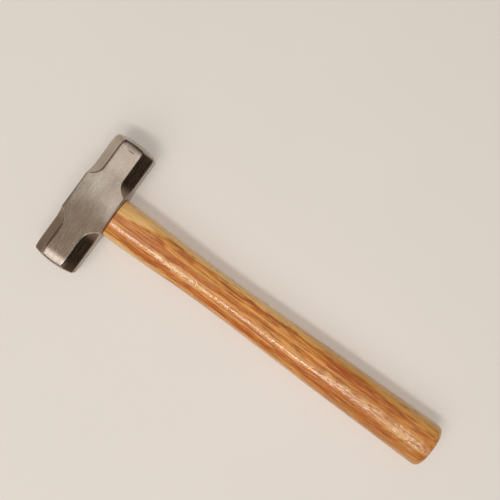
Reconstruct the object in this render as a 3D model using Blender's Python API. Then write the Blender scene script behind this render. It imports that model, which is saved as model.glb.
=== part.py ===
"""Double-faced hand hammer: a ground steel head with octagonal ends on an oval wooden handle.

The hammer lies on its side. The origin is on the resting plane, straight below the centre of
the eye. +X runs along the handle to its butt, +Y along the head from face to face and +Z up.
The handle passes through the eye, and a wooden wedge in its kerf and two steel wedges across
the kerf spread it there. Lengths are in metres.
"""

import math

import bmesh
import bpy

GAP = 0.0003  # between pieces that touch

# The head
HEAD_SIDE = 0.038  # of the square cheek, flat to flat
HEAD_LENGTH = 0.1210  # over the crowns of the two striking faces
CHEEK_LENGTH = 0.0335  # of the middle, where the section is a full square
CHAMFER_LEG = 0.0097  # of each ground corner, along the flats
WHEEL_RADIUS = 0.0145  # of the wheel that ground the corners, seen where they run out
CROWN_RADIUS = 0.070  # of the domed striking faces
RIM_ROUND = 0.0028  # of the edge around a striking face
ARRIS_ROUND = 0.0008  # of the long edges
CHEEK_ARRIS = 0.0003  # flat left between the two roundings of a cheek corner

# The eye, an oval hole that widens from its waist to both mouths
EYE_LENGTH = 0.0265  # of the waist, along the head
EYE_WIDTH = 0.0185  # of the waist, across the head
EYE_FLARE = 0.0011  # from waist to mouth, on each side
EYE_LIP = 0.0007  # of the rounded edge at each mouth

# The handle
HANDLE_LENGTH = 0.3630  # from the head's eye side to the butt
SHOULDER_WIDTH = 0.0358  # where the handle meets the head
SHOULDER_THICKNESS = 0.0270
SHOULDER_ROUND = 0.0012
NECK_LENGTH = 0.012  # straight part next to the head
WAIST_FROM_HEAD = 0.098
WAIST_WIDTH = 0.0322
WAIST_THICKNESS = 0.0240
GRIP_WIDTH = 0.0365  # halfway from the waist to the butt
GRIP_THICKNESS = 0.0270
BUTT_WIDTH = 0.0396
BUTT_THICKNESS = 0.0298
BUTT_DEPTH = 0.011  # over which the butt rounds off to its end
BUTT_POWER = 4.6  # how square that rounding is; 2 would be a plain dome
BUTT_FLAT = 0.25  # of the butt's width is quite flat at its end
END_RECESS = 0.0004  # of the handle's end below the head's eye side

# The wedges
KERF_DEPTH = 0.028  # of the saw cut in the handle's end
KERF_MOUTH = 0.0046  # the cut's width when it is spread
KERF_ROOT = 0.0017
KERF_SPARE = 0.0020  # empty depth under the wooden wedge
STEEL_WEDGE_DEPTH = 0.018
STEEL_WEDGE_HEEL = 0.0030  # thickness at the driven end
STEEL_WEDGE_EDGE = 0.0009  # thickness at the sharp end
STEEL_WEDGE_SPACING = 0.0130  # between the two, along the head
STEEL_WEDGE_COVER = 0.0020  # wood between a steel wedge's side and the eye's wall

# How finely round shapes are drawn
OVAL_SIDES = 32
OVAL_POWER = 2.25  # of the handle's and the eye's ovals; 2 would be a plain ellipse
ARRIS_STEPS = 2
FLAT_STEPS = 5
CHAMFER_STEPS = 3
RUN_OUT_STEPS = 6
RIM_STEPS = 3
CROWN_STEPS = 5
EYE_STEPS = 8
GRIP_STEPS = 26
BUTT_STEPS = 8
ROUND_ANGLE = math.radians(32)  # edges sharper than this stay sharp
OVERRUN = 0.002  # that a cutter reaches past the face it cuts

HALF_SIDE = HEAD_SIDE / 2
EYE_SIDE = -HALF_SIDE  # the head's face that shows the handle's end
SHOULDER = HALF_SIDE + GAP
BUTT = EYE_SIDE + HANDLE_LENGTH
HANDLE_END = EYE_SIDE + END_RECESS


def clear_scene():
    """Leave nothing of an earlier scene behind."""
    for leftover in list(bpy.data.objects):
        bpy.data.objects.remove(leftover, do_unlink=True)


def finish(name, colour, roughness, metallic):
    """A plain material for one piece."""
    material = bpy.data.materials.new(name)
    material.use_nodes = True
    shader = material.node_tree.nodes["Principled BSDF"]
    shader.inputs["Base Color"].default_value = (*colour, 1.0)
    shader.inputs["Roughness"].default_value = roughness
    shader.inputs["Metallic"].default_value = metallic
    return material


def loft(name, rings, material=None):
    """A closed solid through rings that have the same number of points."""
    form = bmesh.new()
    loops = [[form.verts.new(point) for point in ring] for ring in rings]
    for near, far in zip(loops, loops[1:]):
        for here in range(len(near)):
            there = (here + 1) % len(near)
            form.faces.new((near[here], near[there], far[there], far[here]))
    form.faces.new(loops[0])
    form.faces.new(loops[-1])
    bmesh.ops.recalc_face_normals(form, faces=form.faces)
    mesh = bpy.data.meshes.new(name)
    form.to_mesh(mesh)
    form.free()
    mesh.shade_smooth()
    mesh.set_sharp_from_angle(angle=ROUND_ANGLE)
    piece = bpy.data.objects.new(name, mesh)
    bpy.context.collection.objects.link(piece)
    if material:
        mesh.materials.append(material)
    else:
        piece.hide_render = True
        piece.display_type = "WIRE"
    return piece


def cut(piece, tool, operation="DIFFERENCE"):
    """Cut a piece with a tool, or keep what the two share."""
    boolean = piece.modifiers.new(tool.name, "BOOLEAN")
    boolean.operation = operation
    boolean.solver = "EXACT"
    boolean.object = tool


def oval(half_length, half_width):
    """A squarish oval round (0, 0), as pairs of y and z."""
    points = []
    for step in range(OVAL_SIDES):
        angle = math.tau * step / OVAL_SIDES
        across, up = math.cos(angle), math.sin(angle)
        y = half_length * math.copysign(abs(across) ** (2 / OVAL_POWER), across)
        z = half_width * math.copysign(abs(up) ** (2 / OVAL_POWER), up)
        points.append((y, z))
    return points


def oval_ring(x, half_length, half_width):
    """An oval across the handle at x, on the handle's axis."""
    return [(x, y, HALF_SIDE + z) for y, z in oval(half_length, half_width)]


# The head: one bar lofted along Y, with its corners ground off towards both ends.


def chamfer_leg(y):
    """How far a ground corner reaches along the flats, at y from the middle of the head."""
    full_depth = CHAMFER_LEG / math.sqrt(2)
    run_out = math.sqrt(WHEEL_RADIUS**2 - (WHEEL_RADIUS - full_depth) ** 2)
    to_full_depth = max(CHEEK_LENGTH / 2 + run_out - abs(y), 0)
    if to_full_depth >= run_out:
        return 0
    rise = WHEEL_RADIUS - math.sqrt(WHEEL_RADIUS**2 - to_full_depth**2)
    return math.sqrt(2) * (full_depth - rise)


def points_between(start, end, steps):
    """The points that divide a straight line into steps, without its ends."""
    shares = [step / steps for step in range(1, steps)]
    return [tuple(a + (b - a) * share for a, b in zip(start, end)) for share in shares]


def head_outline(leg):
    """The square section with corners of this leg and rounded edges, as x and z from its centre."""
    inner = HALF_SIDE - ARRIS_ROUND
    flat = max(leg - (2 - math.sqrt(2)) * ARRIS_ROUND, CHEEK_ARRIS)
    corner = []
    for x, z, start in ((inner, inner - flat, 0), (inner - flat, inner, 45)):
        for step in range(ARRIS_STEPS + 1):
            angle = math.radians(start + 45 * step / ARRIS_STEPS)
            corner.append((x + ARRIS_ROUND * math.cos(angle), z + ARRIS_ROUND * math.sin(angle)))
    side = points_between((HALF_SIDE, flat - inner), corner[0], FLAT_STEPS) + corner
    side[-ARRIS_STEPS - 1 : -ARRIS_STEPS - 1] = points_between(
        corner[ARRIS_STEPS], corner[ARRIS_STEPS + 1], CHAMFER_STEPS
    )
    outline = []
    for cosine, sine in ((1, 0), (0, 1), (-1, 0), (0, -1)):
        outline += [(x * cosine - z * sine, x * sine + z * cosine) for x, z in side]
    return outline


def crown(radius):
    """How far from the middle of the head the domed face lies, at this radius from its centre."""
    return HEAD_LENGTH / 2 - CROWN_RADIUS + math.sqrt(CROWN_RADIUS**2 - radius**2)


def end_rings(side):
    """Rings from the long flats round the rim and over the crown of one end, side -1 or 1."""
    outline = head_outline(CHAMFER_LEG)
    rings = []
    for step in range(RIM_STEPS + 1):
        part = step / RIM_STEPS
        ring = []
        for x, z in outline:
            radius = math.hypot(x, z)
            inset = RIM_ROUND * part**2
            inside = crown(radius - RIM_ROUND)
            y = (1 - part) ** 2 * (crown(radius) - RIM_ROUND)
            y += 2 * part * (1 - part) * crown(radius) + part**2 * inside
            shrink = 1 - inset / radius
            ring.append((x * shrink, side * y, HALF_SIDE + z * shrink))
        rings.append(ring)
    for step in range(1, CROWN_STEPS + 1):
        ring = []
        for x, z in outline:
            radius = math.hypot(x, z)
            nearer = (radius - RIM_ROUND) * (1 - step / (CROWN_STEPS + 1))
            shrink = nearer / radius
            ring.append((x * shrink, side * crown(nearer), HALF_SIDE + z * shrink))
        rings.append(ring)
    return rings


def body_rings():
    """Rings along the cheek and the corners' run-outs, from -Y to +Y."""
    full_depth = CHAMFER_LEG / math.sqrt(2)
    sweep = math.acos(1 - full_depth / WHEEL_RADIUS)
    places = []
    for step in range(RUN_OUT_STEPS + 1):
        along = math.sin(sweep) - math.sin(sweep * (1 - step / RUN_OUT_STEPS))
        places.append(CHEEK_LENGTH / 2 + WHEEL_RADIUS * along)
    places = [-place for place in reversed(places)] + places
    return [[(x, y, HALF_SIDE + z) for x, z in head_outline(chamfer_leg(y))] for y in places]


def eye_half(x):
    """Half the eye's length and width at x."""
    flare = EYE_FLARE * (x / HALF_SIDE) ** 2
    return EYE_LENGTH / 2 + flare, EYE_WIDTH / 2 + flare


def make_head():
    """The head with its eye."""
    steel = finish("ground_steel", (0.42, 0.38, 0.34), 0.38, 1.0)
    rings = end_rings(-1)[::-1] + body_rings() + end_rings(1)
    head = loft("hammer_head", rings, steel)

    mouth_length, mouth_width = eye_half(HALF_SIDE)
    widest = mouth_length + EYE_LIP, mouth_width + EYE_LIP
    eye_rings = [oval_ring(EYE_SIDE - OVERRUN, *widest), oval_ring(EYE_SIDE, *widest)]
    straight = HALF_SIDE - EYE_LIP
    for step in range(EYE_STEPS + 1):
        x = straight * (2 * step / EYE_STEPS - 1)
        eye_rings.append(oval_ring(x, *eye_half(x)))
    eye_rings += [oval_ring(HALF_SIDE, *widest), oval_ring(HALF_SIDE + OVERRUN, *widest)]
    cut(head, loft("eye_cutter", eye_rings))


# The wedges: each is a tapered block, and the slot for it is the same block, one gap larger.


def tapered(mouth, root, depth, x):
    """Half the thickness at x of a taper that runs in from the head's eye side."""
    return (mouth + (root - mouth) * (x - EYE_SIDE) / depth) / 2


def block(name, near, far, near_half, far_half, y=0.0, material=None):
    """A block from x = near to x = far, its end faces given by half their sizes in y and z."""
    rings = []
    for x, (half_y, half_z) in ((near, near_half), (far, far_half)):
        corners = ((1, 1), (-1, 1), (-1, -1), (1, -1))
        rings.append([(x, y + half_y * a, HALF_SIDE + half_z * b) for a, b in corners])
    return loft(name, rings, material)


def wedge_places():
    """Name and y of each steel wedge."""
    return (
        ("steel_wedge_left", -STEEL_WEDGE_SPACING / 2),
        ("steel_wedge_right", STEEL_WEDGE_SPACING / 2),
    )


def steel_wedge_half_width():
    """Half a steel wedge's width, set by the waist of the eye and the wood beside the wedge."""
    reach = (STEEL_WEDGE_SPACING + STEEL_WEDGE_HEEL) / EYE_LENGTH
    wall = EYE_WIDTH / 2 * (1 - reach**OVAL_POWER) ** (1 / OVAL_POWER)
    return wall - STEEL_WEDGE_COVER


def make_slot_cutters():
    """The kerf and the two steel wedges' slots, as cutters."""
    start = EYE_SIDE - OVERRUN
    kerf_end = EYE_SIDE + KERF_DEPTH
    across = EYE_LENGTH
    kerf = block(
        "kerf_cutter",
        start,
        kerf_end,
        (across, tapered(KERF_MOUTH, KERF_ROOT, KERF_DEPTH, start)),
        (across, tapered(KERF_MOUTH, KERF_ROOT, KERF_DEPTH, kerf_end)),
    )
    slots = []
    slot_end = EYE_SIDE + STEEL_WEDGE_DEPTH + GAP
    half_width = steel_wedge_half_width() + GAP
    for name, y in wedge_places():
        near = tapered(STEEL_WEDGE_HEEL, STEEL_WEDGE_EDGE, STEEL_WEDGE_DEPTH, start) + GAP
        far = tapered(STEEL_WEDGE_HEEL, STEEL_WEDGE_EDGE, STEEL_WEDGE_DEPTH, slot_end) + GAP
        slots.append(
            block(name + "_slot", start, slot_end, (near, half_width), (far, half_width), y)
        )
    return kerf, slots


def make_wedges(slots):
    """The wooden wedge, cut to the eye's oval and by the steel ones, and the two steel wedges."""
    wood = finish("wedge_wood", (0.55, 0.36, 0.19), 0.65, 0.0)
    start = HANDLE_END
    tip = EYE_SIDE + KERF_DEPTH - KERF_SPARE
    across = EYE_LENGTH
    wooden = block(
        "wooden_wedge",
        start,
        tip,
        (across, tapered(KERF_MOUTH, KERF_ROOT, KERF_DEPTH, start) - GAP),
        (across, tapered(KERF_MOUTH, KERF_ROOT, KERF_DEPTH, tip) - GAP),
        material=wood,
    )
    lining_rings = []
    for step in range(EYE_STEPS + 1):
        x = (HALF_SIDE + OVERRUN) * (2 * step / EYE_STEPS - 1)
        half_length, half_width = eye_half(x)
        lining_rings.append(oval_ring(x, half_length - GAP, half_width - GAP))
    cut(wooden, loft("eye_lining", lining_rings), "INTERSECT")
    for slot in slots:
        cut(wooden, slot)

    steel = finish("wedge_steel", (0.30, 0.28, 0.26), 0.5, 1.0)
    edge = EYE_SIDE + STEEL_WEDGE_DEPTH
    half_width = steel_wedge_half_width()
    for name, y in wedge_places():
        heel_half = tapered(STEEL_WEDGE_HEEL, STEEL_WEDGE_EDGE, STEEL_WEDGE_DEPTH, start)
        edge_half = STEEL_WEDGE_EDGE / 2
        block(name, start, edge, (heel_half, half_width), (edge_half, half_width), y, steel)


# The handle: a tenon that fills the eye, a shoulder against the head, and the grip.


def smooth_between(x, stations):
    """A smooth curve through (place, value) stations; level at its first two."""
    slopes = [0.0, 0.0]
    for before, after in zip(stations[1:], stations[3:]):
        slopes.append((after[1] - before[1]) / (after[0] - before[0]))
    slopes.append((stations[-1][1] - stations[-2][1]) / (stations[-1][0] - stations[-2][0]))
    for index in range(len(stations) - 1):
        (x0, v0), (x1, v1) = stations[index : index + 2]
        if x <= x1 or index == len(stations) - 2:
            span = x1 - x0
            t = min(max((x - x0) / span, 0), 1)
            rise = v0 * (1 + 2 * t) * (1 - t) ** 2 + v1 * t * t * (3 - 2 * t)
            return rise + span * (slopes[index] * t * (1 - t) ** 2 - slopes[index + 1] * t * t * (1 - t))


def grip_half(x):
    """Half the grip's width and thickness at x."""
    neck = HALF_SIDE + NECK_LENGTH
    waist = HALF_SIDE + WAIST_FROM_HEAD
    places = (neck, waist, (waist + BUTT) / 2, BUTT)
    widths = (SHOULDER_WIDTH, WAIST_WIDTH, GRIP_WIDTH, BUTT_WIDTH)
    thicknesses = (SHOULDER_THICKNESS, WAIST_THICKNESS, GRIP_THICKNESS, BUTT_THICKNESS)
    width = smooth_between(x, list(zip(places, widths)))
    thickness = smooth_between(x, list(zip(places, thicknesses)))
    return width / 2, thickness / 2


def make_handle(kerf, slots):
    """The handle, one piece of wood from the eye to the butt."""
    hickory = finish("varnished_hickory", (0.58, 0.30, 0.12), 0.3, 0.0)
    rings = []
    for step in range(EYE_STEPS + 1):
        x = HANDLE_END + (SHOULDER - HANDLE_END) * step / EYE_STEPS
        half_length, half_width = eye_half(min(x, HALF_SIDE))
        rings.append(oval_ring(x, half_length - GAP, half_width - GAP))

    half_width, half_thickness = grip_half(SHOULDER)
    for angle in (0, 30, 60, 90):
        inset = SHOULDER_ROUND * (1 - math.sin(math.radians(angle)))
        x = SHOULDER + SHOULDER_ROUND * (1 - math.cos(math.radians(angle)))
        rings.append(oval_ring(x, half_width - inset, half_thickness - inset))

    grip_start = SHOULDER + SHOULDER_ROUND
    butt_start = BUTT - BUTT_DEPTH
    for step in range(1, GRIP_STEPS + 1):
        x = grip_start + (butt_start - grip_start) * step / GRIP_STEPS
        rings.append(oval_ring(x, *grip_half(x)))

    for step in range(1, BUTT_STEPS):
        angle = math.radians(90 * step / BUTT_STEPS)
        along = math.sin(angle) ** (2 / BUTT_POWER)
        share = math.cos(angle) ** (2 / BUTT_POWER)
        x = butt_start + BUTT_DEPTH * along
        half_width, half_thickness = grip_half(x)
        rings.append(oval_ring(x, half_width * share, half_thickness * share))
    half_width, half_thickness = grip_half(BUTT)
    rings.append(oval_ring(BUTT, half_width * BUTT_FLAT, half_thickness * BUTT_FLAT))

    handle = loft("handle", rings, hickory)
    cut(handle, kerf)
    for slot in slots:
        cut(handle, slot)


clear_scene()
make_head()
kerf_cutter, slot_cutters = make_slot_cutters()
make_wedges(slot_cutters)
make_handle(kerf_cutter, slot_cutters)
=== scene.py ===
"""Looks of the double-faced hand hammer: ground steel head, varnished hickory handle, wedges.

Lengths are in metres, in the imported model's frame: the hammer lies on its side, +X runs along
the handle to its butt, +Y along the head, and the origin is straight below the eye's centre.
"""
import math

import bmesh
import bpy
from mathutils import Matrix, Vector, noise


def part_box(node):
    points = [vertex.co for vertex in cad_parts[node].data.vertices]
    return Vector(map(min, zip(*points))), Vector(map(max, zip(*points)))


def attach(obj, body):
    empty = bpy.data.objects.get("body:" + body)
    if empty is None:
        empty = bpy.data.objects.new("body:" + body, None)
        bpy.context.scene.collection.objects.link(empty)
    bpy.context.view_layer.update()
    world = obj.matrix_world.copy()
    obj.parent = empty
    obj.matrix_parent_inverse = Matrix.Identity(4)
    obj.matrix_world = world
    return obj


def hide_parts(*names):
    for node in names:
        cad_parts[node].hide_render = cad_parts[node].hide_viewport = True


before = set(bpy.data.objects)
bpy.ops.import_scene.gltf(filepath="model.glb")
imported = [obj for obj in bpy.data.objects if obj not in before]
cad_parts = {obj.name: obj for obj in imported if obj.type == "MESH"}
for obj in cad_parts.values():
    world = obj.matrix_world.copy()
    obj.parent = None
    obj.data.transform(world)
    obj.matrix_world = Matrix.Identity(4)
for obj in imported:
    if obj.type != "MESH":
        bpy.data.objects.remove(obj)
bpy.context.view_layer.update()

# ------------------------------------------------------------------------------------------
# The head. One bar of forged steel, ground along its length to a satin grain. A wheel has
# taken its corners off towards both ends and left curved run-outs beside the square cheek.
# Both faces are domed, and work has rolled the flats over towards their rims.
# ------------------------------------------------------------------------------------------

head_low, head_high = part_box("hammer_head")
HALF_SIDE = (head_high.x - head_low.x) / 2
FACE = head_high.y
AXIS = Vector((0, 0, HALF_SIDE))  # of the head, and of the handle
CHEEK_HALF = 0.01675
CHAMFER_LEG = 0.0097
WHEEL_RADIUS = 0.0145
ARRIS = 0.0008
CHEEK_ARRIS = 0.0003
CROWN_RADIUS = 0.070
ROLL_FROM = 0.0490  # where the flats start to roll over towards a face
LOW_ROLL = 0.0006  # how far they have rolled in at the low end, -Y
LOW_RIM = 0.0013
HIGH_ROLL = 0.00035
HIGH_RIM = 0.0026
RIM_LEAN = 0.8

CUT_DEPTH = CHAMFER_LEG / math.sqrt(2)
RUN_OUT = math.sqrt(WHEEL_RADIUS**2 - (WHEEL_RADIUS - CUT_DEPTH) ** 2)
BAR_START = CHEEK_HALF + RUN_OUT

FLAT_POINTS = 16
CHAMFER_POINTS = 8
ARC_POINTS = 5
CHEEK_RINGS = 28
RUN_OUT_RINGS = 18
BAR_RINGS = 20
ROLL_RINGS = 8
RIM_RINGS = 9
CROWN_RINGS = 16


def wheel_cut(y):
    """Leg of the ground corners at y."""
    left = BAR_START - abs(y)
    if left <= 0:
        return CHAMFER_LEG
    if left >= RUN_OUT:
        return 0.0
    return CHAMFER_LEG - math.sqrt(2) * (WHEEL_RADIUS - math.sqrt(WHEEL_RADIUS**2 - left**2))


def bar_section(leg):
    """Points round the bar from its axis, as x and z: four flats, their corners cut and rounded."""
    inner = HALF_SIDE - ARRIS
    short = max(leg - (2 - math.sqrt(2)) * ARRIS, CHEEK_ARRIS)
    side = []
    for step in range(FLAT_POINTS):
        side.append((HALF_SIDE, (inner - short) * (2 * step / FLAT_POINTS - 1)))
    for step in range(ARC_POINTS):
        turn = math.radians(45) * step / ARC_POINTS
        side.append((inner + ARRIS * math.cos(turn), inner - short + ARRIS * math.sin(turn)))
    for step in range(CHAMFER_POINTS):
        share = step / CHAMFER_POINTS
        across = ARRIS * math.cos(math.radians(45))
        side.append((inner + across - short * share, inner + across - short * (1 - share)))
    for step in range(ARC_POINTS):
        turn = math.radians(45) * (1 + step / ARC_POINTS)
        side.append((inner - short + ARRIS * math.cos(turn), inner + ARRIS * math.sin(turn)))
    points = []
    for cosine, sine in ((1, 0), (0, 1), (-1, 0), (0, -1)):
        points += [(x * cosine - z * sine, x * sine + z * cosine) for x, z in side]
    return points


def dome(radius):
    """Distance of a striking face from the middle of the head, this far from its centre."""
    return FACE - CROWN_RADIUS + math.sqrt(CROWN_RADIUS**2 - radius**2)


def end_of_bar(side, roll_depth, rim):
    """Rings from the straight bar over the rolled flats and the rim to the centre of a face."""
    section = bar_section(CHAMFER_LEG)
    rings = []
    for step in range(1, ROLL_RINGS + 1):
        share = step / ROLL_RINGS
        ring = []
        for x, z in section:
            radius = math.hypot(x, z)
            roll_to = dome(radius) - rim
            y = ROLL_FROM + (roll_to - ROLL_FROM) * share
            shrink = 1 - roll_depth * share**2 / radius
            ring.append((x * shrink, side * y, z * shrink))
        rings.append(ring)
    for step in range(1, RIM_RINGS + 1):
        share = step / RIM_RINGS
        ring = []
        for x, z in section:
            radius = math.hypot(x, z)
            start = radius - roll_depth
            roll_to = dome(radius) - rim
            slope = 2 * roll_depth / (roll_to - ROLL_FROM)
            corner = start - slope * rim * RIM_LEAN
            inner = corner - rim
            reach = (1 - share) ** 2 * start + 2 * share * (1 - share) * corner
            reach += share**2 * inner
            y = (1 - share) ** 2 * roll_to + 2 * share * (1 - share) * dome(corner)
            y += share**2 * dome(inner)
            shrink = reach / radius
            ring.append((x * shrink, side * y, z * shrink))
        rings.append(ring)
    edge_ring = rings[-1]
    for step in range(1, CROWN_RINGS + 1):
        ring = []
        for (x, z), edge in zip(section, edge_ring):
            reach = math.hypot(edge[0], edge[2]) * (1 - step / CROWN_RINGS)
            shrink = reach / math.hypot(x, z)
            ring.append((x * shrink, side * dome(reach), z * shrink))
        rings.append(ring)
    return rings


def rolled_up(name, rings):
    """A closed skin: a grid whose rows are laid round these rings of points."""
    around = len(rings[0])
    form = bmesh.new()
    bmesh.ops.create_grid(form, x_segments=around, y_segments=len(rings) - 1, size=0.5)
    for vertex in form.verts:
        column = round((vertex.co.x + 0.5) * around) % around
        row = round((vertex.co.y + 0.5) * (len(rings) - 1))
        vertex.co = rings[row][column]
    bmesh.ops.remove_doubles(form, verts=form.verts, dist=1e-7)
    bmesh.ops.recalc_face_normals(form, faces=form.faces)
    mesh = bpy.data.meshes.new(name)
    form.to_mesh(mesh)
    form.free()
    mesh.shade_smooth()
    piece = bpy.data.objects.new(name, mesh)
    bpy.context.scene.collection.objects.link(piece)
    return piece


places = [CHEEK_HALF * step / CHEEK_RINGS for step in range(CHEEK_RINGS)]
sweep = math.asin(RUN_OUT / WHEEL_RADIUS)
for step in range(RUN_OUT_RINGS):
    turned = sweep * (1 - step / RUN_OUT_RINGS)
    places.append(BAR_START - WHEEL_RADIUS * math.sin(turned))
for step in range(BAR_RINGS + 1):
    places.append(BAR_START + (ROLL_FROM - BAR_START) * step / BAR_RINGS)
places = [-y for y in reversed(places[1:])] + places
middle = [[(x, y, z) for x, z in bar_section(wheel_cut(y))] for y in places]
low_end = end_of_bar(-1, LOW_ROLL, LOW_RIM)
high_end = end_of_bar(1, HIGH_ROLL, HIGH_RIM)
head_rings = low_end[::-1] + middle + high_end

GROUND_WAVE = 0.00004
LONG_WAVES = Vector((70, 45, 70))  # to a metre of x, y and z
SHORT_WAVES = Vector((160, 90, 160))
SHORT_SHIFT = Vector((7, 0, 0))
SHORT_SHARE = 0.5
CENTRE = 1e-6  # nearer the axis than this is a pole


def hand_ground(point):
    """A ground surface is never quite flat: ease it in by a few hundredths of a millimetre."""
    x, y, z = point
    radius = math.hypot(x, z)
    if radius < CENTRE:
        return Vector(point) + AXIS
    wave = noise.noise(Vector(point) * LONG_WAVES)
    wave += SHORT_SHARE * noise.noise(Vector(point) * SHORT_WAVES + SHORT_SHIFT)
    eased = GROUND_WAVE * min(wave - 1 - SHORT_SHARE, 0)
    shrink = 1 + eased / radius
    return Vector((x * shrink, y, z * shrink)) + AXIS


head = rolled_up("ground_head", [[hand_ground(point) for point in ring] for ring in head_rings])

# The eye goes through the cheek from side to side, narrowest in the middle, its mouths eased.
EYE_LENGTH = 0.0265
EYE_WIDTH = 0.0185
EYE_FLARE = 0.0011
EYE_LIP = 0.0007
OVAL_POWER = 2.25
EYE_SIDES = 96
LIP_RINGS = 5
BORE_RINGS = 16
THROUGH = 0.002  # how far a cutting tool stands out past the steel


def oval(x, half_length, half_width, sides=EYE_SIDES):
    """A squarish oval across the handle's axis at x."""
    ring = []
    for step in range(sides):
        angle = math.tau * step / sides
        cosine, sine = math.cos(angle), math.sin(angle)
        y = half_length * math.copysign(abs(cosine) ** (2 / OVAL_POWER), cosine)
        z = half_width * math.copysign(abs(sine) ** (2 / OVAL_POWER), sine)
        ring.append(Vector((x, y, z)) + AXIS)
    return ring


def eye_half(x):
    """Half the eye's length and width at x."""
    flare = EYE_FLARE * (x / HALF_SIDE) ** 2
    return EYE_LENGTH / 2 + flare, EYE_WIDTH / 2 + flare


def pole(x, sides=EYE_SIDES):
    """A ring shrunk to a point, which closes a rolled-up skin."""
    return [Vector((x, 0, 0)) + AXIS] * sides


def eye_rings():
    """The eye's shape from end to end, past both sides of the head."""
    half = []
    mouth = eye_half(HALF_SIDE)
    for step in range(BORE_RINGS + 1):
        x = (HALF_SIDE - EYE_LIP) * step / BORE_RINGS
        half.append((x, *eye_half(x)))
    for step in range(1, LIP_RINGS + 1):
        turn = math.radians(90) * step / LIP_RINGS
        x = HALF_SIDE - EYE_LIP + EYE_LIP * math.sin(turn)
        out = EYE_LIP * (1 - math.cos(turn))
        half.append((x, mouth[0] + out, mouth[1] + out))
    half.append((HALF_SIDE + THROUGH, mouth[0] + EYE_LIP, mouth[1] + EYE_LIP))
    both_halves = [(-x, length, width) for x, length, width in reversed(half[1:])] + half
    ovals = [oval(*station) for station in both_halves]
    return [pole(both_halves[0][0])] + ovals + [pole(both_halves[-1][0])]


def cut(piece, tool):
    """Cut a piece with a tool and throw the tool away."""
    boolean = piece.modifiers.new("cut", "BOOLEAN")
    boolean.operation = "DIFFERENCE"
    boolean.solver = "EXACT"
    boolean.object = tool
    graph = bpy.context.evaluated_depsgraph_get()
    mesh = bpy.data.meshes.new_from_object(piece.evaluated_get(graph))
    piece.modifiers.clear()
    piece.data = mesh
    bpy.data.objects.remove(tool)


SHARP_FROM = math.radians(40)
cut(head, rolled_up("eye_tool", eye_rings()))
head.data.set_sharp_from_angle(angle=SHARP_FROM)


def fresh_material(name):
    """A new material, its node tree and its Principled shader."""
    material = bpy.data.materials.new(name)
    material.use_nodes = True
    return material, material.node_tree, material.node_tree.nodes["Principled BSDF"]


def add(tree, kind, inputs=None, **settings):
    """Add a node. Its inputs are values, or the outputs of other nodes."""
    made = tree.nodes.new("ShaderNode" + kind)
    for setting, value in settings.items():
        setattr(made, setting, value)
    for key, value in (inputs or {}).items():
        if isinstance(value, bpy.types.NodeSocket):
            tree.links.new(value, made.inputs[key])
        else:
            made.inputs[key].default_value = value
    return made


def spot_on(tree):
    """Where a point lies on the finished piece."""
    return add(tree, "TexCoord").outputs["Object"]


def grain(tree, size, detail=2.0, turn=0.0, warp=0.0, shift=(0, 0, 0)):
    """Noise from 0 to 1 whose marks are about this long in x, y and z, turned about z."""
    inputs = {"Vector": spot_on(tree), "Location": shift, "Rotation": (0, 0, turn), "Scale": size}
    laid = add(tree, "Mapping", inputs, vector_type="TEXTURE").outputs[0]
    inputs = {"Vector": laid, "Scale": 1.0, "Detail": detail, "Distortion": warp}
    return add(tree, "TexNoise", inputs).outputs["Fac"]


def spread(tree, value, low, high, to_low=0.0, to_high=1.0):
    """Ease a value from the span low to high onto another one."""
    inputs = {"Value": value, 1: low, 2: high, 3: to_low, 4: to_high}
    return add(tree, "MapRange", inputs, interpolation_type="SMOOTHSTEP").outputs[0]


def sums(tree, operation, first, second=0.0, third=0.0):
    """One sum of numbers."""
    made = add(tree, "Math", {0: first, 1: second, 2: third}, operation=operation)
    return made.outputs[0]


def both(tree, first, second):
    """How far two shares hold together."""
    return sums(tree, "MULTIPLY", first, second)


def distance(tree, first, second):
    """How far apart two numbers are."""
    return sums(tree, "ABSOLUTE", sums(tree, "SUBTRACT", first, second))


def tint(tree, share, under, over):
    """Lay one colour over another."""
    made = add(tree, "Mix", {0: share}, data_type="RGBA")
    for key, value in ((6, under), (7, over)):
        if isinstance(value, bpy.types.NodeSocket):
            tree.links.new(value, made.inputs[key])
        else:
            made.inputs[key].default_value = (*value, 1.0)
    return made.outputs[2]


def raised(tree, height, depth, normal=None):
    """A bump of this depth in metres."""
    inputs = {"Height": height, "Distance": depth, "Strength": 1.0}
    if normal:
        inputs["Normal"] = normal
    return add(tree, "Bump", inputs).outputs[0]


def mark(tree, at, half, where=None):
    """A soft-edged spot, 1 in its middle and 0 outside, from its place and half sizes."""
    inputs = {"Vector": where or spot_on(tree), "Location": at, "Scale": half}
    laid = add(tree, "Mapping", inputs, vector_type="TEXTURE").outputs[0]
    return add(tree, "TexGradient", {0: laid}, gradient_type="SPHERICAL").outputs["Fac"]


STEEL_DARK = (0.44, 0.365, 0.30)
STEEL_PALE = (0.70, 0.605, 0.52)
STEEL_AGED_AND_SHADE = (0.30, 0.225, 0.165)
STEEL_SCALE_AND_SHADE = (0.19, 0.13, 0.095)
STEEL_ARRIS_SHADE = (0.08, 0.048, 0.034)
STEEL_SCRATCH_AND_HIGHLIGHT = (0.78, 0.70, 0.62)
STEEL_PIT = (0.07, 0.05, 0.04)

# sizes of the marks in x, y and z: the wheel ran along the head, so they are long in y
CLOUD = (0.014, 0.022, 0.014)
STREAK = (0.0010, 0.014, 0.0010)
GRIND_LINE = (0.00025, 0.008, 0.00025)
SCRATCH = (0.0003, 0.007, 0.0003)
SCRATCH_TURN = math.radians(-14)
STAIN = (0.007, 0.010, 0.007)
SPECK = (0.0007, 0.0008, 0.0007)
CLOUD_SHARE = 0.50
STREAK_SHARE = 0.32
LINE_SHARE = 0.18

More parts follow.
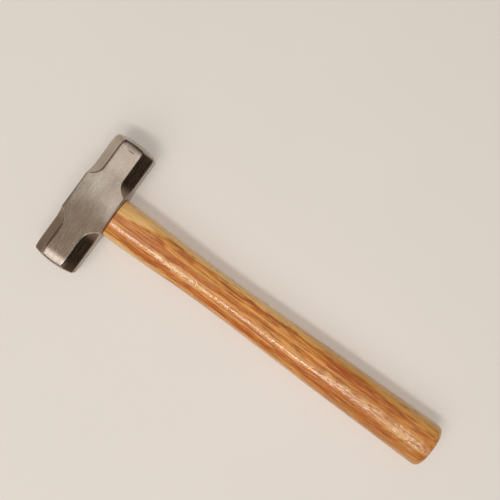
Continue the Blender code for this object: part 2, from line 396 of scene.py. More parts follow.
steel, tree, shader = fresh_material("ground_steel")
clouds = grain(tree, CLOUD, detail=3)
streaks = grain(tree, STREAK, detail=3)
lines = grain(tree, GRIND_LINE, detail=2)
crossed = grain(tree, SCRATCH, detail=1, turn=SCRATCH_TURN, shift=(0.1, 0, 0))
stains = grain(tree, STAIN, detail=4, shift=(0, 0.3, 0))
specks = grain(tree, SPECK, detail=1, shift=(0.2, 0, 0))
side_on, along_head, upright = add(tree, "SeparateXYZ", {0: spot_on(tree)}).outputs
in_from_side = sums(tree, "SUBTRACT", HALF_SIDE, sums(tree, "ABSOLUTE", side_on))
in_from_top = sums(tree, "SUBTRACT", HALF_SIDE, distance(tree, upright, HALF_SIDE))

tone = sums(tree, "MULTIPLY", clouds, CLOUD_SHARE)
tone = sums(tree, "MULTIPLY_ADD", streaks, STREAK_SHARE, tone)
tone = sums(tree, "MULTIPLY_ADD", lines, LINE_SHARE, tone)
colour = tint(tree, spread(tree, tone, 0.30, 0.70), STEEL_DARK, STEEL_PALE)

# painted shade: the low half is darkened below a ragged edge, for the dimmer reflection the low end
# catches; hands have stained the middle of the cheek
LOW_SHADE_RAGGED = 0.016
LOW_SHADE_FROM = 0.016
LOW_SHADE_FULL = -0.006
low_half_painted_shade = sums(tree, "MULTIPLY_ADD", stains, LOW_SHADE_RAGGED, along_head)
low_half_painted_shade = spread(tree, low_half_painted_shade, LOW_SHADE_FROM, LOW_SHADE_FULL, 0.0, 0.88)
colour = tint(tree, low_half_painted_shade, colour, STEEL_AGED_AND_SHADE)
thumbed = mark(tree, (0.001, -0.003, 2 * HALF_SIDE), (0.017, 0.010, 0.010))
colour = tint(tree, spread(tree, thumbed, 0.0, 0.8, 0.0, 0.35), colour, STEEL_AGED_AND_SHADE)
wiped = spread(tree, mark(tree, (-0.006, 0.013, 2 * HALF_SIDE), (0.010, 0.016, 0.010)), 0.0, 0.8)
wiped = both(tree, wiped, spread(tree, streaks, 0.40, 0.60, 0.0, 0.45))
colour = tint(tree, wiped, colour, STEEL_SCRATCH_AND_HIGHLIGHT)
colour = tint(tree, spread(tree, stains, 0.58, 0.75, 0.0, 0.25), colour, STEEL_AGED_AND_SHADE)

# the ground corners keep a dark skin; its extra darkness towards the handle and the low end is
# painted shade, for the dark room those cuts reflect
SKIN_ENDS = 0.0580
SKIN_FULL = 0.0560
corner = spread(tree, sums(tree, "MINIMUM", in_from_side, in_from_top), 0.0002, 0.0008)
ends = spread(tree, sums(tree, "ABSOLUTE", along_head), SKIN_ENDS, SKIN_FULL)
towards_low = spread(tree, along_head, 0.010, -0.010)
skin = spread(tree, side_on, -0.004, 0.004, 0.0, 0.90)
skin = sums(tree, "MULTIPLY_ADD", towards_low, 0.52, skin)
colour = tint(tree, both(tree, both(tree, corner, ends), skin), colour, STEEL_SCALE_AND_SHADE)

# painted shade: a dark line just past the arris of the cuts on the eye's side, where the rounded
# edge turns from the light
past_arris = spread(tree, in_from_top, 0.0001, 0.0005)
past_arris = both(tree, past_arris, spread(tree, in_from_top, 0.0018, 0.0009))
painted_arris_shade = both(tree, past_arris, spread(tree, side_on, -0.006, -0.008, 0.0, 0.80))
painted_arris_shade = both(tree, painted_arris_shade, spread(tree, in_from_side, 0.001, 0.003))
colour = tint(tree, painted_arris_shade, colour, STEEL_ARRIS_SHADE)

# painted highlight: the arrises of the low end's cuts and of the cheek's handle side are brightened
# in colour
on_arris = spread(tree, in_from_top, 0.00012, 0.00020)
on_arris = both(tree, on_arris, spread(tree, in_from_top, 0.0006, 0.0003))
low_cuts = spread(tree, along_head, -0.015, -0.017)
low_cuts = both(tree, low_cuts, spread(tree, along_head, -0.032, -0.025))
cheek_edge = spread(tree, side_on, 0.0172, 0.0182)
cheek_edge = both(tree, cheek_edge, spread(tree, along_head, 0.013, 0.008))
painted_arris_highlight = both(tree, on_arris, sums(tree, "MAXIMUM", low_cuts, cheek_edge))
colour = tint(tree, painted_arris_highlight, colour, STEEL_SCRATCH_AND_HIGHLIGHT)

# the head's two sides are darker and less metallic, and a bowed band short of the high face is
# darker
BAND_BOW = -12.0
sides = spread(tree, in_from_side, 0.0007, 0.0003, 0.0, 0.9)
colour = tint(tree, sides, colour, STEEL_AGED_AND_SHADE)
band = sums(tree, "MULTIPLY_ADD", sums(tree, "MULTIPLY", side_on, side_on), BAND_BOW, along_head)
colour = tint(tree, spread(tree, band, 0.0520, 0.0535, 0.0, 0.35), colour, STEEL_AGED_AND_SHADE)

# the rolled end of the low flats is smoother, and a painted highlight brightens its colour where
# the rim catches the light
smoothed = spread(tree, along_head, -0.0470, -0.0570)
low_rim_painted_highlight = both(tree, smoothed, spread(tree, in_from_top, 0.0040, 0.0010, 0.0, 0.50))
colour = tint(tree, low_rim_painted_highlight, colour, STEEL_SCRATCH_AND_HIGHLIGHT)
colour = tint(tree, spread(tree, crossed, 0.68, 0.78, 0.0, 0.25), colour, STEEL_SCRATCH_AND_HIGHLIGHT)

# small pits, and one nick across the top flat near the high face
nick = mark(tree, (0.0009, 0.0514, 2 * HALF_SIDE), (0.0045, 0.0005, 0.004))
nick = spread(tree, nick, 0.1, 0.5, 0.0, 0.7)
pits = sums(tree, "MAXIMUM", spread(tree, specks, 0.71, 0.77, 0.0, 0.6), nick)
colour = tint(tree, pits, colour, STEEL_PIT)
tree.links.new(colour, shader.inputs["Base Color"])

SATIN = (0.20, 0.30)
ARRIS_HIGHLIGHT_MATT = 0.8
SIDE_SKIN = 0.6
# the painted highlight on those arrises is also made less metallic
skinned = sums(tree, "MULTIPLY", painted_arris_highlight, ARRIS_HIGHLIGHT_MATT)
skinned = sums(tree, "MAXIMUM", skinned, sums(tree, "MULTIPLY", sides, SIDE_SKIN))
tree.links.new(sums(tree, "SUBTRACT", 1.0, skinned), shader.inputs["Metallic"])
rough = spread(tree, streaks, 0.3, 0.7, *SATIN)
rough = sums(tree, "MULTIPLY_ADD", smoothed, 0.14, rough)
rough = sums(tree, "MULTIPLY_ADD", pits, 0.3, rough)
tree.links.new(rough, shader.inputs["Roughness"])

LINE_DEPTH = 0.0000035
STREAK_DEPTH = 0.000006
PIT_DEPTH = 0.00004
still_ground = sums(tree, "MULTIPLY_ADD", smoothed, -0.85, 1.0)
relief = raised(tree, both(tree, lines, still_ground), LINE_DEPTH)
relief = raised(tree, both(tree, streaks, still_ground), STREAK_DEPTH, relief)
relief = raised(tree, sums(tree, "MULTIPLY", pits, -1.0), PIT_DEPTH, relief)
tree.links.new(relief, shader.inputs["Normal"])

head.data.materials.clear()
head.data.materials.append(steel)
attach(head, "root")
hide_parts("hammer_head")

# ------------------------------------------------------------------------------------------
# The handle. One piece of hickory: a tenon that fills the eye, a shoulder against the head
# and an oval grip that thins to a waist and swells to the butt. It is turned and sanded by
# hand and dipped in clear varnish. Pale sapwood runs along its +Y edge.
# ------------------------------------------------------------------------------------------

handle_low, handle_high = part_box("handle")
FIT = 0.0003
SHOULDER = HALF_SIDE + FIT
BUTT = handle_high.x
TENON_END = handle_low.x
SHOULDER_SIZE = (0.0358, 0.0270)  # wide in y, thick in z
WAIST_SIZE = (0.0322, 0.0240)
GRIP_SIZE = (0.0365, 0.0270)
BUTT_SIZE = (0.0396, 0.0298)
NECK = HALF_SIDE + 0.012
WAIST = HALF_SIDE + 0.098
SHOULDER_ROUND = 0.0003
BUTT_DEPTH = 0.011
BUTT_POWER = 4.6
TWIST = math.radians(4)  # of the grip's section towards the butt
TWIST_FROM = 0.20
TWIST_LENGTH = 0.06
GRIP_SIDES = 112
GRIP_RINGS = 330
BUTT_RINGS = 20
TENON_RINGS = 24
SHOULDER_RINGS = 6


def flowing(x, stations):
    """A smooth curve through stations of place and value, level at its first two."""
    slopes = [0.0, 0.0]
    for before, after in zip(stations[1:], stations[3:]):
        slopes.append((after[1] - before[1]) / (after[0] - before[0]))
    slopes.append((stations[-1][1] - stations[-2][1]) / (stations[-1][0] - stations[-2][0]))
    for index in range(len(stations) - 1):
        (x0, v0), (x1, v1) = stations[index : index + 2]
        if x <= x1 or index == len(stations) - 2:
            span = x1 - x0
            t = min(max((x - x0) / span, 0), 1)
            rise = v0 * (1 + 2 * t) * (1 - t) ** 2 + v1 * t * t * (3 - 2 * t)
            bend = slopes[index] * t * (1 - t) ** 2 - slopes[index + 1] * t * t * (1 - t)
            return rise + span * bend


def grip_half(x):
    """Half the grip's width and thickness at x."""
    stops = (NECK, WAIST, (WAIST + BUTT) / 2, BUTT)
    sizes = (SHOULDER_SIZE, WAIST_SIZE, GRIP_SIZE, BUTT_SIZE)
    width = flowing(x, [(stop, size[0]) for stop, size in zip(stops, sizes)])
    thickness = flowing(x, [(stop, size[1]) for stop, size in zip(stops, sizes)])
    return width / 2, thickness / 2


SWELL_DEPTH = 0.00005
RUN_DEPTH = 0.00004
LONG_SWELLS = Vector((22, 60, 60))  # to a metre of x, y and z
SHORT_SWELLS = Vector((70, 130, 130))
SWELL_SHIFT = Vector((0, 0, 3))
SWELL_SHARE = 0.6
VARNISH_RUNS = 240


def sanded(point):
    """Hand sanding and runs in the varnish leave the grip a little uneven."""
    along, y, z = point.x, point.y, point.z - HALF_SIDE
    radius = math.hypot(y, z)
    if radius < CENTRE or along < SHOULDER:
        return point
    from_axis = Vector((along, y, z))
    swell = noise.noise(from_axis * LONG_SWELLS)
    swell += SWELL_SHARE * noise.noise(from_axis * SHORT_SWELLS + SWELL_SHIFT)
    near_butt = min(max((along - TWIST_FROM) / TWIST_LENGTH, 0), 1)
    twist = TWIST * near_butt**2 * (3 - 2 * near_butt)
    y, z = y * math.cos(twist) - z * math.sin(twist), y * math.sin(twist) + z * math.cos(twist)
    runs = noise.noise(Vector((along, y, z)) * VARNISH_RUNS)
    eased = SWELL_DEPTH * min(swell - 1 - SWELL_SHARE, 0)
    eased += near_butt * RUN_DEPTH * min(runs - 1, 0)
    shrink = 1 + eased / radius
    return Vector((along, y * shrink, z * shrink + HALF_SIDE))


handle_rings = [pole(TENON_END, GRIP_SIDES)]
for step in range(TENON_RINGS + 1):
    x = TENON_END + (SHOULDER - TENON_END) * step / TENON_RINGS
    half_length, half_width = eye_half(min(x, HALF_SIDE))
    handle_rings.append(oval(x, half_length - FIT, half_width - FIT, GRIP_SIDES))
half_width, half_thickness = grip_half(SHOULDER)
for step in range(SHOULDER_RINGS + 1):
    turn = math.radians(90) * step / SHOULDER_RINGS
    inset = SHOULDER_ROUND * (1 - math.sin(turn))
    x = SHOULDER + SHOULDER_ROUND * (1 - math.cos(turn))
    handle_rings.append(oval(x, half_width - inset, half_thickness - inset, GRIP_SIDES))
grip_start = SHOULDER + SHOULDER_ROUND
butt_start = BUTT - BUTT_DEPTH
for step in range(1, GRIP_RINGS + 1):
    x = grip_start + (butt_start - grip_start) * step / GRIP_RINGS
    handle_rings.append(oval(x, *grip_half(x), GRIP_SIDES))
for step in range(1, BUTT_RINGS):
    turn = math.radians(90) * step / BUTT_RINGS
    x = butt_start + BUTT_DEPTH * math.sin(turn) ** (2 / BUTT_POWER)
    share = math.cos(turn) ** (2 / BUTT_POWER)
    half_width, half_thickness = grip_half(x)
    handle_rings.append(oval(x, half_width * share, half_thickness * share, GRIP_SIDES))
handle_rings.append(pole(BUTT, GRIP_SIDES))

handle = rolled_up("hickory_handle", [[sanded(point) for point in ring] for ring in handle_rings])

# The saw kerf for the wooden wedge and the two slots that the steel wedges make across it.
KERF_DEPTH = 0.028
KERF_MOUTH = 0.0046
KERF_ROOT = 0.0017
STEEL_WEDGE_DEPTH = 0.018
STEEL_WEDGE_HEEL = 0.0030
STEEL_WEDGE_EDGE = 0.0009
left_low, left_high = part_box("steel_wedge_left")
right_low, right_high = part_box("steel_wedge_right")


def tapered_block(name, near, far, near_half, far_half, y=0.0):
    """A block along x whose ends are given by half their sizes in y and z."""
    form = bmesh.new()
    bmesh.ops.create_cube(form, size=2.0)
    for vertex in form.verts:
        x, half = (near, near_half) if vertex.co.x < 0 else (far, far_half)
        vertex.co = Vector((x, y + vertex.co.y * half[0], vertex.co.z * half[1])) + AXIS
    mesh = bpy.data.meshes.new(name)
    form.to_mesh(mesh)
    form.free()
    piece = bpy.data.objects.new(name, mesh)
    bpy.context.scene.collection.objects.link(piece)
    return piece


def taper(mouth, root, depth, x):
    """Half the thickness at x of a taper driven in from the head's outer side."""
    return (mouth + (root - mouth) * (x + HALF_SIDE) / depth) / 2


kerf_near = -HALF_SIDE - THROUGH
kerf_far = -HALF_SIDE + KERF_DEPTH
near_half = (EYE_LENGTH, taper(KERF_MOUTH, KERF_ROOT, KERF_DEPTH, kerf_near))
far_half = (EYE_LENGTH, KERF_ROOT / 2)
cut(handle, tapered_block("kerf_tool", kerf_near, kerf_far, near_half, far_half))
for low, high in ((left_low, left_high), (right_low, right_high)):
    slot_far = high.x + FIT
    wide = (high.z - low.z) / 2 + FIT
    near_thick = taper(STEEL_WEDGE_HEEL, STEEL_WEDGE_EDGE, STEEL_WEDGE_DEPTH, kerf_near) + FIT
    far_thick = taper(STEEL_WEDGE_HEEL, STEEL_WEDGE_EDGE, STEEL_WEDGE_DEPTH, slot_far) + FIT
    near_half = (near_thick, wide)
    far_half = (far_thick, wide)
    between = (low.y + high.y) / 2
    cut(handle, tapered_block("slot_tool", kerf_near, slot_far, near_half, far_half, between))
handle.data.set_sharp_from_angle(angle=SHARP_FROM)

HEART_TAN = (0.78, 0.350, 0.080)
HEART_ORANGE = (0.55, 0.160, 0.008)
HEART_RED = (0.44, 0.060, 0.001)
SAPWOOD = (0.88, 0.55, 0.205)
SAP_GOLD = (0.66, 0.355, 0.085)
FIBRE_BROWN = (0.36, 0.11, 0.012)
LINE_BROWN = (0.23, 0.065, 0.006)
PALE_LINE = (0.76, 0.40, 0.13)
PORE_AND_SHADE_BROWN = (0.17, 0.060, 0.012)
HIGHLIGHT_PALE = (0.80, 0.53, 0.25)
TOP = HALF_SIDE + WAIST_SIZE[1] / 2

# sizes of the grain's marks in x, y and z: all of them are long along the handle
WANDER = (0.050, 0.012, 0.012)
FINE_WANDER = (0.015, 0.004, 0.004)
FIBRE = (0.032, 0.00045, 0.00045)
FIGURE = (0.085, 0.0032, 0.0032)
DARK_LINE = (0.024, 0.0010, 0.0010)
LIGHT_LINE = (0.018, 0.0007, 0.0007)
PORE = (0.0085, 0.00065, 0.00065)
MOTTLE = (0.0050, 0.0026, 0.0026)
RIPPLE = (0.0040, 0.0022, 0.0022)
RUN = (0.0036, 0.0030, 0.0030)

wood, tree, shader = fresh_material("varnished_hickory")
along, across, up = add(tree, "SeparateXYZ", {0: spot_on(tree)}).outputs
wander = sums(tree, "SUBTRACT", grain(tree, WANDER, detail=3), 0.5)
fine_wander = grain(tree, FINE_WANDER, detail=2, shift=(0.4, 0, 0))
fine_wander = sums(tree, "SUBTRACT", fine_wander, 0.5)
fibres = grain(tree, FIBRE, detail=3)
figure = grain(tree, FIGURE, detail=3, shift=(0, 0.2, 0))

# how far a point lies inside the wavy edge between the heartwood and the upper sapwood
EDGE_WANDER = 0.006
EDGE_FINE_WANDER = 0.003
RING_BOW = 0.5
RINGS_PER_METRE = 450.0
inside = sums(tree, "MULTIPLY_ADD", wander, EDGE_WANDER, across)
inside = sums(tree, "MULTIPLY_ADD", fine_wander, EDGE_FINE_WANDER, inside)
sap_edge = spread(tree, along, 0.018, 0.075, 0.0050, 0.0115)
sap_edge = sums(tree, "ADD", sap_edge, spread(tree, along, 0.19, 0.27, 0.0, 0.0015))
bowed = sums(tree, "MULTIPLY_ADD", sums(tree, "SUBTRACT", up, TOP), RING_BOW, inside)
ring_count = sums(tree, "MULTIPLY", bowed, RINGS_PER_METRE)
inputs = {"W": ring_count, "Scale": 1.0, "Detail": 2.0}
growth = add(tree, "TexNoise", inputs, noise_dimensions="1D").outputs["Fac"]

# heartwood: tan and orange in the growth rings, with red-brown streaks
warm = sums(tree, "MULTIPLY_ADD", growth, 0.5, sums(tree, "MULTIPLY", figure, 0.5))
colour = tint(tree, spread(tree, warm, 0.44, 0.56), HEART_TAN, HEART_ORANGE)
streak = sums(tree, "MULTIPLY_ADD", figure, 0.6, sums(tree, "MULTIPLY", fibres, 0.4))
colour = tint(tree, spread(tree, streak, 0.53, 0.62, 0.0, 0.70), colour, HEART_RED)

# red-brown marks in the heartwood: place in x and y, half length, half width and strength
RED_MARKS = (
    (0.061, 0.0048, 0.011, 0.0050, 0.85),
    (0.085, 0.0090, 0.013, 0.0028, 0.80),
    (0.081, 0.0004, 0.014, 0.0026, 0.70),
    (0.158, 0.0096, 0.050, 0.0026, 0.80),
    (0.245, 0.0085, 0.022, 0.0055, 1.00),
    (0.268, 0.0070, 0.022, 0.0034, 0.80),
    (0.310, 0.0125, 0.020, 0.0020, 0.70),
    (0.326, 0.0056, 0.012, 0.0022, 0.85),
    (0.100, -0.0108, 0.130, 0.0026, 0.75),
    (0.130, -0.0128, 0.110, 0.0010, 0.60),
    (0.225, -0.0105, 0.060, 0.0032, 0.65),
    (0.285, -0.0105, 0.050, 0.0010, 0.70),
    (0.295, -0.0125, 0.030, 0.0008, 0.60),
    (0.342, -0.0050, 0.014, 0.0080, 0.60),
    (0.275, 0.0088, 0.040, 0.0042, 0.60),
    (0.304, 0.0080, 0.034, 0.0030, 0.50),
    (0.272, -0.0130, 0.075, 0.0050, 0.50),
    (0.022, 0.0045, 0.009, 0.0009, 0.60),
)
RED_MARK_DEPTH = 0.012
loose = sums(tree, "MULTIPLY", fine_wander, 0.010)
loose = sums(tree, "MULTIPLY_ADD", sums(tree, "SUBTRACT", fibres, 0.5), 0.0060, loose)
frayed = {0: along, 1: sums(tree, "ADD", across, loose), 2: up}
frayed = add(tree, "CombineXYZ", frayed).outputs[0]
for x, y, half_long, half_wide, strength in RED_MARKS:
    spot = mark(tree, (x, y, TOP), (half_long, half_wide, RED_MARK_DEPTH), frayed)
    spot = both(tree, spot, spread(tree, fibres, 0.36, 0.58, 0.3, 1.3))
    colour = tint(tree, spread(tree, spot, 0.06, 0.42, 0.0, strength), colour, HEART_RED)

# the grip is darker towards the butt
colour = tint(tree, spread(tree, along, 0.215, 0.26, 0.0, 0.30), colour, FIBRE_BROWN)

# sapwood: a pale band along the upper edge, and a thin one low at the neck
sap = spread(tree, sums(tree, "SUBTRACT", inside, sap_edge), -0.0006, 0.0010)
lower_sap = spread(tree, inside, -0.0132, -0.0142)
lower_sap = both(tree, lower_sap, spread(tree, along, 0.05, 0.08, 1.0, 0.35))
sap = sums(tree, "MAXIMUM", sap, lower_sap)
sap_colour = tint(tree, spread(tree, along, 0.16, 0.24), SAPWOOD, SAP_GOLD)
colour = tint(tree, sums(tree, "MULTIPLY", sap, 0.9), colour, sap_colour)

# fibres and fine lines, fainter in the sapwood, and open pores
fibre_shade = sums(tree, "MULTIPLY_ADD", sap, -0.35, 0.62)
fibre_shade = both(tree, fibre_shade, spread(tree, fibres, 0.46, 0.66))
colour = tint(tree, fibre_shade, colour, FIBRE_BROWN)
dark_lines = grain(tree, DARK_LINE, detail=2, shift=(0.6, 0.3, 0))
line_shade = sums(tree, "MULTIPLY_ADD", sap, -0.40, 0.80)
line_shade = both(tree, line_shade, spread(tree, dark_lines, 0.55, 0.63))
colour = tint(tree, line_shade, colour, LINE_BROWN)
light_lines = grain(tree, LIGHT_LINE, detail=2, shift=(0.8, 0, 0))
colour = tint(tree, spread(tree, light_lines, 0.52, 0.68, 0.0, 0.45), colour, PALE_LINE)
pores = spread(tree, grain(tree, PORE, detail=1, shift=(0.3, 0.1, 0)), 0.61, 0.67)
pores = both(tree, pores, spread(tree, growth, 0.45, 0.62, 0.25, 1.0))
colour = tint(tree, sums(tree, "MULTIPLY", pores, 0.85), colour, PORE_AND_SHADE_BROWN)

# painted highlights: pale mottled patches where the varnish catches the light, given as the red
# marks are
PAINTED_HIGHLIGHT_PATCHES = (
    (0.322, -0.0030, 0.032, 0.0065, 0.50),
    (0.262, -0.0012, 0.042, 0.0045, 0.45),
    (0.088, -0.0045, 0.045, 0.0040, 0.45),
)
HIGHLIGHT_PATCH_DEPTH = 0.014
mottle = grain(tree, MOTTLE, detail=3, shift=(0.15, 0.2, 0))
mottle = spread(tree, mottle, 0.44, 0.56, 0.25, 1.0)
for x, y, half_long, half_wide, strength in PAINTED_HIGHLIGHT_PATCHES:
    spot = mark(tree, (x, y, TOP), (half_long, half_wide, HIGHLIGHT_PATCH_DEPTH), frayed)
    spot = both(tree, spread(tree, spot, 0.06, 0.42, 0.0, strength), mottle)
    colour = tint(tree, spot, colour, HIGHLIGHT_PALE)
# painted shade: the wood is darkened in a thin band against the head
JOINT_SHADE_WIDTH = 0.0008
joint_painted_shade = spread(tree, along, SHOULDER + JOINT_SHADE_WIDTH, SHOULDER, 0.0, 0.15)
colour = tint(tree, joint_painted_shade, colour, PORE_AND_SHADE_BROWN)
tree.links.new(colour, shader.inputs["Base Color"])

shader.inputs["Roughness"].default_value = 0.5
shader.inputs["Coat Weight"].default_value = 1.0
shader.inputs["Coat Roughness"].default_value = 0.12
shader.inputs["Coat IOR"].default_value = 1.5
PORE_DEPTH = 0.00006
FIBRE_DEPTH = 0.00003
relief = raised(tree, sums(tree, "MULTIPLY", pores, -1.0), PORE_DEPTH)
relief = raised(tree, fibres, FIBRE_DEPTH, relief)
tree.links.new(relief, shader.inputs["Normal"])

# the varnish ripples all along, and has run on the grip and around the marks at the neck
RIPPLE_HEIGHT = 0.00012
RUN_HEIGHT = 0.00040
FIBRE_HEIGHT = 0.000014
KNOTTY_AT = 0.085
ripple = grain(tree, RIPPLE, detail=2, shift=(0.9, 0, 0))
runs = grain(tree, RUN, detail=2, shift=(0.5, 0, 0))
uneven = spread(tree, along, 0.22, 0.30, 0.12, 1.0)
knotty = spread(tree, distance(tree, along, KNOTTY_AT), 0.040, 0.010, 0.0, 0.6)
runs = both(tree, runs, sums(tree, "MAXIMUM", uneven, knotty))
varnish = raised(tree, ripple, RIPPLE_HEIGHT)
varnish = raised(tree, runs, RUN_HEIGHT, varnish)
varnish = raised(tree, fibres, FIBRE_HEIGHT, varnish)
tree.links.new(varnish, shader.inputs["Coat Normal"])

handle.data.materials.clear()
handle.data.materials.append(wood)
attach(handle, "root")
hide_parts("handle")

# ------------------------------------------------------------------------------------------
# The wooden wedge. Bare hardwood, driven into the kerf and sawn off flush, so only its end
# grain shows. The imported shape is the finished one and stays.
# ------------------------------------------------------------------------------------------

WEDGE_PALE = (0.52, 0.36, 0.20)
WEDGE_DARK = (0.30, 0.17, 0.08)
WEDGE_RING = (0.010, 0.006, 0.0006)
WEDGE_PORE = (0.004, 0.00025, 0.00025)
WEDGE_PORE_DEPTH = 0.00008
WEDGE_RING_DEPTH = 0.00006

bare_wood, tree, shader = fresh_material("bare_end_grain")
wedge_rings = grain(tree, WEDGE_RING, detail=3, warp=0.3)
dots = grain(tree, WEDGE_PORE, detail=2)
colour = tint(tree, spread(tree, wedge_rings, 0.35, 0.65), WEDGE_PALE, WEDGE_DARK)
colour = tint(tree, spread(tree, dots, 0.50, 0.66, 0.0, 0.7), colour, PORE_AND_SHADE_BROWN)
tree.links.new(colour, shader.inputs["Base Color"])
tree.links.new(spread(tree, wedge_rings, 0.3, 0.7, 0.60, 0.80), shader.inputs["Roughness"])
relief = raised(tree, dots, -WEDGE_PORE_DEPTH)
relief = raised(tree, wedge_rings, WEDGE_RING_DEPTH, relief)
tree.links.new(relief, shader.inputs["Normal"])
for material_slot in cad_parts["wooden_wedge"].material_slots:
    material_slot.material = bare_wood

# ------------------------------------------------------------------------------------------
# The two steel wedges. Rolled steel with a dull blue-grey skin, driven across the wooden
# wedge until flush. Their edges are blunt and the hammer has dented their heels.
# ------------------------------------------------------------------------------------------

ROLLED_GREY = (0.30, 0.28, 0.26)
ROLLED_DARK = (0.14, 0.125, 0.115)
RUST_BROWN = (0.20, 0.09, 0.04)
DENTED = (0.52, 0.49, 0.46)
ROLLED_SKIN = (0.003, 0.002, 0.002)
DENT = (0.0012, 0.0010, 0.0012)
RUST_SPOT = (0.0015, 0.0015, 0.0015)
DENT_DEPTH = 0.00010
SKIN_DEPTH = 0.00003
BLUNT = 0.0003
BLUNT_STEPS = 3

rolled, tree, shader = fresh_material("rolled_steel")
mill_skin = grain(tree, ROLLED_SKIN, detail=4)
dents = grain(tree, DENT, detail=2, shift=(0.2, 0, 0))
rust = grain(tree, RUST_SPOT, detail=4, shift=(0.6, 0, 0))
colour = tint(tree, spread(tree, mill_skin, 0.35, 0.65), ROLLED_DARK, ROLLED_GREY)
colour = tint(tree, spread(tree, dents, 0.50, 0.60, 0.0, 0.7), colour, DENTED)
colour = tint(tree, spread(tree, rust, 0.58, 0.70, 0.0, 0.6), colour, RUST_BROWN)
tree.links.new(colour, shader.inputs["Base Color"])
shader.inputs["Metallic"].default_value = 1.0
tree.links.new(spread(tree, mill_skin, 0.3, 0.7, 0.35, 0.55), shader.inputs["Roughness"])
relief = raised(tree, dents, DENT_DEPTH)
relief = raised(tree, mill_skin, SKIN_DEPTH, relief)
tree.links.new(relief, shader.inputs["Normal"])

for name, low, high in (
    ("left_steel_wedge", left_low, left_high),
    ("right_steel_wedge", right_low, right_high),
):
    wide = (high.z - low.z) / 2
    heel_half = (STEEL_WEDGE_HEEL / 2, wide)
    edge_half = (STEEL_WEDGE_EDGE / 2, wide)
    wedge = tapered_block(name, low.x, high.x, heel_half, edge_half, (low.y + high.y) / 2)
    form = bmesh.new()
    form.from_mesh(wedge.data)
    bmesh.ops.bevel(
        form,
        geom=form.edges,
        offset=BLUNT,
        segments=BLUNT_STEPS,
        profile=0.5,
        affect="EDGES",
        material=-1,
    )
    bmesh.ops.recalc_face_normals(form, faces=form.faces)
    form.to_mesh(wedge.data)
    form.free()
    wedge.data.shade_smooth()
    wedge.data.set_sharp_from_angle(angle=SHARP_FROM)
    wedge.data.materials.append(rolled)
    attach(wedge, "root")
    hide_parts("steel_wedge_left" if name.startswith("left") else "steel_wedge_right")

# ------------------------------------------------------------------------------------------
# The floor. A pale, matt board. The hammer rests on the lower edge of its cheek and on
# its butt, so the board is tilted by less than a degree to the hammer's own frame.
# ------------------------------------------------------------------------------------------

FLOOR_HALF = 4.0
FLOOR_GAP = 0.0001
FLOOR_DARK = (0.745, 0.700, 0.650)
FLOOR_PALE = (0.775, 0.730, 0.680)
FLOOR_CLOUD = (0.15, 0.2, 0.2)
FLOOR_ROUGHNESS = 0.8

rest_edge = HALF_SIDE - ARRIS
tilt = min(
    math.atan2(vertex.co.z, vertex.co.x - rest_edge)
    for vertex in handle.data.vertices
    if vertex.co.x > WAIST
)
on_floor = Matrix.Translation((rest_edge, 0, 0)) @ Matrix.Rotation(-tilt, 4, "Y")
below = on_floor @ Matrix.Translation((0, 0, -FLOOR_GAP))

form = bmesh.new()
bmesh.ops.create_grid(form, x_segments=8, y_segments=8, size=FLOOR_HALF)
bmesh.ops.transform(form, matrix=below, verts=form.verts)
floor_mesh = bpy.data.meshes.new("floor")
form.to_mesh(floor_mesh)
form.free()
floor = bpy.data.objects.new("floor", floor_mesh)
bpy.context.scene.collection.objects.link(floor)

board, tree, shader = fresh_material("pale_board")
shade = grain(tree, FLOOR_CLOUD, detail=2)
tree.links.new(tint(tree, shade, FLOOR_DARK, FLOOR_PALE), shader.inputs["Base Color"])
shader.inputs["Roughness"].default_value = FLOOR_ROUGHNESS
floor_mesh.materials.append(board)

# ------------------------------------------------------------------------------------------
# The camera looks straight down. A window, a pane and the ceiling light the hammer and show
# in it as highlights. A broad light and an even fill add light without being reflected.
# ------------------------------------------------------------------------------------------

VIEW_CENTRE = (0.1072, 0.0443, 0)
VIEW_TURN = math.radians(36.25)
CAMERA_HEIGHT = 0.795
CAMERA_LENS = 67.46
CAMERA_SENSOR = 36.0
in_view = on_floor @ Matrix.Translation(VIEW_CENTRE) @ Matrix.Rotation(VIEW_TURN, 4, "Z")

camera_data = bpy.data.cameras.new("camera")
camera_data.sensor_width = CAMERA_SENSOR
camera_data.lens = CAMERA_LENS
camera = bpy.data.objects.new("camera", camera_data)
bpy.context.scene.collection.objects.link(camera)
camera.matrix_world = in_view @ Matrix.Translation((0, 0, CAMERA_HEIGHT))
bpy.context.scene.camera = camera

DAYLIGHT = (1.0, 0.97, 0.94)
WARM_DAYLIGHT = (1.0, 0.965, 0.93)
FILL_STRENGTH = 1.13


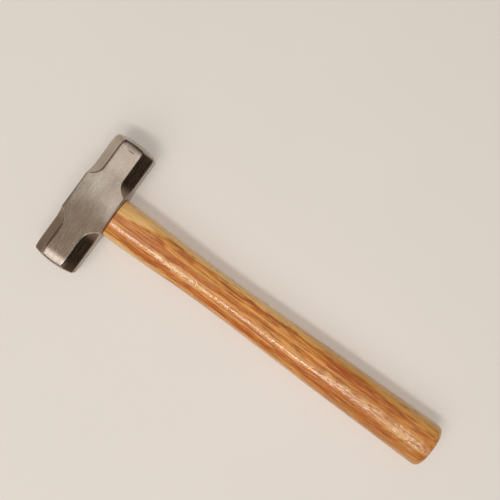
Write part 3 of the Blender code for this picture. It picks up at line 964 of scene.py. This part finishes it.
def soft_light(name, right, up, height, wide, tall, power, colour=DAYLIGHT):
    """An area light over the floor, aimed at the hammer. Right and up are as the camera sees."""
    data = bpy.data.lights.new(name, "AREA")
    data.shape = "RECTANGLE"
    data.size = wide
    data.size_y = tall
    data.energy = power
    data.color = colour
    light = bpy.data.objects.new(name, data)
    bpy.context.scene.collection.objects.link(light)
    aim = Vector((right, up, height)).to_track_quat("Z", "Y").to_matrix().to_4x4()
    light.matrix_world = in_view @ Matrix.Translation((right, up, height)) @ aim
    return light


soft_light("window", right=-0.28, up=-0.60, height=1.60, wide=1.10, tall=0.17, power=6.2)
soft_light("pane", right=-0.60, up=-0.37, height=1.62, wide=0.36, tall=0.36, power=0.58)
soft_light("ceiling", right=-0.17, up=0.34, height=2.0, wide=0.60, tall=0.56, power=0.98)
broad = soft_light(
    "broad",
    right=-1.32,
    up=-1.80,
    height=2.84,
    wide=2.9,
    tall=2.9,
    power=30.0,
    colour=WARM_DAYLIGHT,
)
broad.visible_glossy = False

# an even light from above, without shadows, as from a white ceiling
fill_data = bpy.data.lights.new("fill", "SUN")
fill_data.energy = FILL_STRENGTH
fill_data.color = DAYLIGHT
fill_data.use_shadow = False
fill = bpy.data.objects.new("fill", fill_data)
bpy.context.scene.collection.objects.link(fill)
fill.matrix_world = in_view
fill.visible_glossy = False

ROOM_LOW = (0.030, 0.024, 0.020)
ROOM_HIGH = (0.30, 0.285, 0.27)
ROOM_SEEN = (0.70, 0.63, 0.56)  # past the floor's edge, as the camera sees it

world = bpy.data.worlds.new("room")
bpy.context.scene.world = world
world.use_nodes = True
tree = world.node_tree
sky = tree.nodes["Background"]
towards = add(tree, "TexCoord").outputs["Generated"]
height = add(tree, "SeparateXYZ", {0: towards}).outputs[2]
lit = tint(tree, spread(tree, height, 0.15, 0.85), ROOM_LOW, ROOM_HIGH)
seen = add(tree, "LightPath").outputs["Is Camera Ray"]
tree.links.new(tint(tree, seen, lit, ROOM_SEEN), sky.inputs["Color"])
bpy.context.scene.view_settings.view_transform = "Standard"
